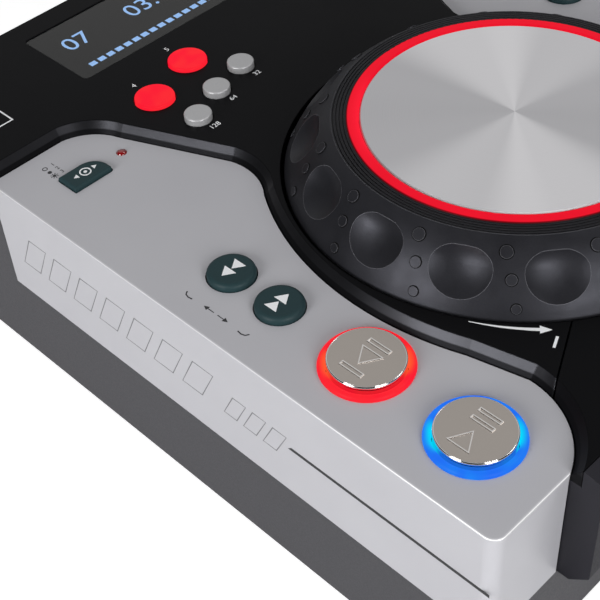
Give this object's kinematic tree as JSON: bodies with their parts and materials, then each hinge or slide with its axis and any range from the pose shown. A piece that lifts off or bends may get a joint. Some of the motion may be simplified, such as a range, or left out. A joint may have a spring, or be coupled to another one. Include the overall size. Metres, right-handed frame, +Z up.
{
  "type": "tabletop dj cd player",
  "caption": "Tabletop disc player for DJs with a large dimpled jog wheel, lit transport buttons, silver side panels, a pitch fader and a front disc slot.",
  "frame": {"origin": "on the table, under the middle of the whole player", "axes": "+Z up, +Y towards the rear, +X to the right of a person at the front"},
  "size_m": [0.23, 0.29, 0.1055],
  "materials": {
    "silver_paint": "satin metallic paint",
    "black_fascia": "fine satin",
    "charcoal_plastic": "fine grain",
    "jog_black": "soft touch with fine grain",
    "spun_aluminium": "spun",
    "red_light": "translucent, lit red",
    "blue_light": "translucent, lit blue",
    "nickel": "satin with polished bevel",
    "button_rubber": "matte",
    "knob_black": "satin",
    "dark_glass": "smoked clear",
    "base_steel": "satin",
    "black_plastic": "moulded",
    "foot_rubber": "matte",
    "plated_steel": "bright zinc",
    "bronze": "sintered bronze",
    "circuit_board": "solder mask",
    "gear_plastic": "acetal"
  },
  "bodies": {
    "case": {"audio_jacks": "plated_steel", "base_plate": "base_steel", "case_screws": "plated_steel", "cue_light_ring": "red_light", "display_module": "black_plastic", "display_window": "dark_glass", "drive_dampers": "foot_rubber", "drive_frame": "base_steel", "fascia": "black_fascia", "fascia_board": "circuit_board", "feet": "foot_rubber", "guide_rods": "plated_steel", "jog_base": "black_plastic", "jog_bearing": "bronze", "jog_mode_led": "red_light", "left_button_board": "circuit_board", "loading_motor": "plated_steel", "lower_case": "charcoal_plastic", "main_board": "circuit_board", "mains_inlet": "black_plastic", "nose_cover": "black_fascia", "pitch_fader": "black_plastic", "play_light_ring": "blue_light", "power_board": "circuit_board", "rear_panel": "base_steel", "right_button_board": "circuit_board", "side_panel_left": "silver_paint", "side_panel_right": "silver_paint", "sled_motor": "plated_steel", "slot_bezel": "charcoal_plastic", "spindle_motor": "plated_steel", "usb_socket": "plated_steel"},
    "jog_wheel": {"jog_ring": "jog_black", "platter_disc": "spun_aluminium", "platter_light": "red_light", "jog_hub": "black_plastic", "jog_shaft": "plated_steel"},
    "cue_key": {"cue_button": "nickel"},
    "play_key": {"play_button": "nickel"},
    "search_back_key": {"search_back_button": "button_rubber"},
    "search_forward_key": {"search_forward_button": "button_rubber"},
    "jog_mode_key": {"jog_mode_button": "button_rubber"},
    "beat_key_1": {"beat_button_1": "nickel"},
    "beat_key_2": {"beat_button_2": "nickel"},
    "beat_key_3": {"beat_button_3": "nickel"},
    "loop_in_key": {"loop_in_button": "red_light"},
    "loop_out_key": {"loop_out_button": "red_light"},
    "eject_key": {"eject_button": "button_rubber"},
    "tempo_lock_key": {"tempo_lock_button": "button_rubber"},
    "power_key": {"power_button": "knob_black"},
    "pitch_slider": {"pitch_knob": "knob_black"},
    "selector": {"selector_knob": "knob_black"},
    "spindle": {"turntable": "black_plastic"},
    "clamp_lift": {"clamp_arm": "plated_steel"},
    "clamp_puck": {"disc_clamp": "black_plastic"},
    "roller": {"load_roller": "foot_rubber"},
    "idler": {"loader_gear": "gear_plastic"},
    "pinion": {"motor_pinion": "gear_plastic"},
    "sled": {"laser_sled": "black_plastic"},
    "sled_pinion": {"sled_gear": "gear_plastic"}
  },
  "joints": [
    {"name": "jog_spin", "type": "hinge", "parent": "case", "child": "jog_wheel", "pos_m": [0, -0.049, 0.08], "axis": [0, 0, 1], "continuous": true},
    {"name": "cue_press", "type": "slide", "parent": "case", "child": "cue_key", "axis": [0, 0, -1], "range_m": [0, 0.001], "stiffness_N_per_m": 350, "springref_m": -0.0006},
    {"name": "play_press", "type": "slide", "parent": "case", "child": "play_key", "axis": [0, 0, -1], "range_m": [0, 0.001], "stiffness_N_per_m": 350, "springref_m": -0.0006},
    {"name": "search_back_press", "type": "slide", "parent": "case", "child": "search_back_key", "axis": [0, 0, -1], "range_m": [0, 0.001], "stiffness_N_per_m": 350, "springref_m": -0.0006},
    {"name": "search_forward_press", "type": "slide", "parent": "case", "child": "search_forward_key", "axis": [0, 0, -1], "range_m": [0, 0.001], "stiffness_N_per_m": 350, "springref_m": -0.0006},
    {"name": "jog_mode_press", "type": "slide", "parent": "case", "child": "jog_mode_key", "axis": [0, 0, -1], "range_m": [0, 0.0006], "stiffness_N_per_m": 350, "springref_m": -0.0006},
    {"name": "beat_press_1", "type": "slide", "parent": "case", "child": "beat_key_1", "axis": [0, 0, -1], "range_m": [0, 0.0006], "stiffness_N_per_m": 350, "springref_m": -0.0006},
    {"name": "beat_press_2", "type": "slide", "parent": "case", "child": "beat_key_2", "axis": [0, 0, -1], "range_m": [0, 0.0006], "stiffness_N_per_m": 350, "springref_m": -0.0006},
    {"name": "beat_press_3", "type": "slide", "parent": "case", "child": "beat_key_3", "axis": [0, 0, -1], "range_m": [0, 0.0006], "stiffness_N_per_m": 350, "springref_m": -0.0006},
    {"name": "loop_in_press", "type": "slide", "parent": "case", "child": "loop_in_key", "axis": [0, 0, -1], "range_m": [0, 0.0006], "stiffness_N_per_m": 350, "springref_m": -0.0006},
    {"name": "loop_out_press", "type": "slide", "parent": "case", "child": "loop_out_key", "axis": [0, 0, -1], "range_m": [0, 0.0006], "stiffness_N_per_m": 350, "springref_m": -0.0006},
    {"name": "eject_press", "type": "slide", "parent": "case", "child": "eject_key", "axis": [0, 0, -1], "range_m": [0, 0.0006], "stiffness_N_per_m": 350, "springref_m": -0.0006},
    {"name": "tempo_lock_press", "type": "slide", "parent": "case", "child": "tempo_lock_key", "axis": [0, 0, -1], "range_m": [0, 0.001], "stiffness_N_per_m": 350, "springref_m": -0.0006},
    {"name": "power_press", "type": "slide", "parent": "case", "child": "power_key", "axis": [0, -1, 0], "range_m": [0, 0.002], "stiffness_N_per_m": 350, "springref_m": -0.001},
    {"name": "pitch_slide", "type": "slide", "parent": "case", "child": "pitch_slider", "axis": [0, 1, 0], "range_m": [-0.04, 0.04]},
    {"name": "selector_turn", "type": "hinge", "parent": "case", "child": "selector", "pos_m": [0.088, 0.106, 0.09], "axis": [0, 0, 1], "continuous": true},
    {"name": "spindle_spin", "type": "hinge", "parent": "case", "child": "spindle", "pos_m": [0, -0.049, 0.045], "axis": [0, 0, 1], "continuous": true},
    {"name": "clamp_lower", "type": "hinge", "parent": "case", "child": "clamp_lift", "pos_m": [0, 0.012, 0.0569], "axis": [1, 0, 0], "range_deg": [0, 1.5]},
    {"name": "clamp_spin", "type": "hinge", "parent": "clamp_lift", "child": "clamp_puck", "pos_m": [0, -0.049, 0.056], "axis": [0, 0, 1], "continuous": true},
    {"name": "roller_spin", "type": "hinge", "parent": "case", "child": "roller", "pos_m": [0, -0.1195, 0.0464], "axis": [1, 0, 0], "continuous": true},
    {"name": "idler_spin", "type": "hinge", "parent": "case", "child": "idler", "pos_m": [0.074, -0.1003, 0.0464], "axis": [1, 0, 0], "continuous": true},
    {"name": "pinion_spin", "type": "hinge", "parent": "case", "child": "pinion", "pos_m": [0.074, -0.0851, 0.0464], "axis": [1, 0, 0], "continuous": true},
    {"name": "sled_slide", "type": "slide", "parent": "case", "child": "sled", "axis": [0, 1, 0], "range_m": [0, 0.034]},
    {"name": "sled_pinion_spin", "type": "hinge", "parent": "case", "child": "sled_pinion", "pos_m": [0.0334, -0.022, 0.04], "axis": [0, 0, 1], "range_deg": [-410, 410]}
  ],
  "couplings": [
    {"joint": "idler_spin", "follows": "roller_spin", "ratio": -0.71429},
    {"joint": "pinion_spin", "follows": "roller_spin", "ratio": 2},
    {"joint": "sled_pinion_spin", "follows": "sled_slide", "rad_per_m": -208.33}
  ]
}
